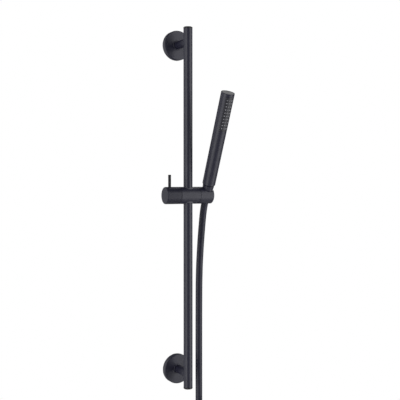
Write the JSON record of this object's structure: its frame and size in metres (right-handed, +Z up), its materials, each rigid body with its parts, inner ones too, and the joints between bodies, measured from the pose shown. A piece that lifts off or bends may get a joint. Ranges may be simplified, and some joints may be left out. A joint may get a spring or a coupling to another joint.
{
  "type": "shower slide rail",
  "caption": "Matt black round shower rail on wall rosettes, with a clamped sliding holder, a slim stick handset and its hanging hose.",
  "frame": {"origin": "on the wall plane, midway between the two wall plates", "axes": "+Z up along the rail, +Y into the wall, -Y out into the room, +X to the right seen from the room"},
  "size_m": [0.1208, 0.1563, 1.1449],
  "materials": {
    "matt_black": "fine matt powder coat",
    "black_plastic": "matt moulded plastic",
    "bare_brass": "turned, uncoated",
    "bare_steel": "plain stainless steel",
    "seal_rubber": "moulded rubber",
    "nozzle_silicone": "matt silicone with paler nozzle tips",
    "hose_skin": "smooth satin hose skin"
  },
  "bodies": {
    "wall_rail": {"rail_tube": "matt_black", "rail_cap_top": "black_plastic", "rail_cap_bottom": "black_plastic", "upper_wall_plate": "bare_steel", "upper_arm": "matt_black", "upper_arm_bolt": "bare_steel", "upper_rail_insert": "bare_brass", "upper_grub_screw": "bare_steel", "lower_wall_plate": "bare_steel", "lower_arm": "matt_black", "lower_arm_bolt": "bare_steel", "lower_rail_insert": "bare_brass", "lower_grub_screw": "bare_steel"},
    "upper_rosette": {"upper_cover": "matt_black", "upper_cover_seal": "seal_rubber"},
    "lower_rosette": {"lower_cover": "matt_black", "lower_cover_seal": "seal_rubber"},
    "guide": {"guide_bush_upper": "black_plastic", "guide_bush_lower": "black_plastic"},
    "carriage": {"carriage_body": "matt_black", "bush_collar_upper": "black_plastic", "bush_collar_lower": "black_plastic", "pivot_screw": "bare_steel", "friction_disc": "black_plastic", "hose_tube": "hose_skin", "hose_hank": "hose_skin", "hank_tie": "black_plastic", "end_ferrule": "matt_black", "end_washer": "seal_rubber"},
    "clamp": {"clamp_knob": "matt_black", "lever_pin": "matt_black", "clamp_spindle": "bare_brass", "spindle_clip": "bare_steel"},
    "brake": {"brake_shoe": "bare_steel", "brake_facing": "seal_rubber"},
    "holder": {"holder_cradle": "matt_black", "spring_washer": "bare_steel", "handset_tube": "matt_black", "nozzle_panel": "nozzle_silicone", "handset_core": "black_plastic", "handset_lid": "black_plastic", "handset_inlet": "bare_brass", "inlet_washer": "seal_rubber", "cone_nut": "matt_black", "hose_tail": "bare_brass"},
    "hose_union": {"union_nut": "matt_black"}
  },
  "joints": [
    {"name": "slider_travel", "type": "slide", "parent": "wall_rail", "child": "guide", "axis": [0, 0, 1], "range_m": [-0.307, 0.255]},
    {"name": "slider_swivel", "type": "hinge", "parent": "guide", "child": "carriage", "pos_m": [0, -0.056, 0.0264], "axis": [0, 0, 1], "range_deg": [-40, 5]},
    {"name": "clamp_turn", "type": "hinge", "parent": "carriage", "child": "clamp", "pos_m": [-0.036, -0.056, 0.0264], "axis": [1, 0, 0], "range_deg": [0, 90]},
    {"name": "brake_travel", "type": "slide", "parent": "carriage", "child": "brake", "axis": [-1, 0, 0], "range_m": [0, 0.0006]},
    {"name": "holder_tilt", "type": "hinge", "parent": "carriage", "child": "holder", "pos_m": [0.036, -0.056, 0.0264], "axis": [1, 0, 0], "range_deg": [-24, 46], "deforming": ["hose_tube"]},
    {"name": "upper_rosette_slide", "type": "slide", "parent": "wall_rail", "child": "upper_rosette", "axis": [0, -1, 0], "range_m": [0, 0.024]},
    {"name": "lower_rosette_slide", "type": "slide", "parent": "wall_rail", "child": "lower_rosette", "axis": [0, -1, 0], "range_m": [0, 0.024]},
    {"name": "union_spin", "type": "hinge", "parent": "carriage", "child": "hose_union", "pos_m": [0.0555, -0.023, -0.772], "axis": [0, 0, 1], "continuous": true}
  ],
  "couplings": [
    {"joint": "brake_travel", "follows": "clamp_turn", "m_per_rad": 0.00031831}
  ]
}
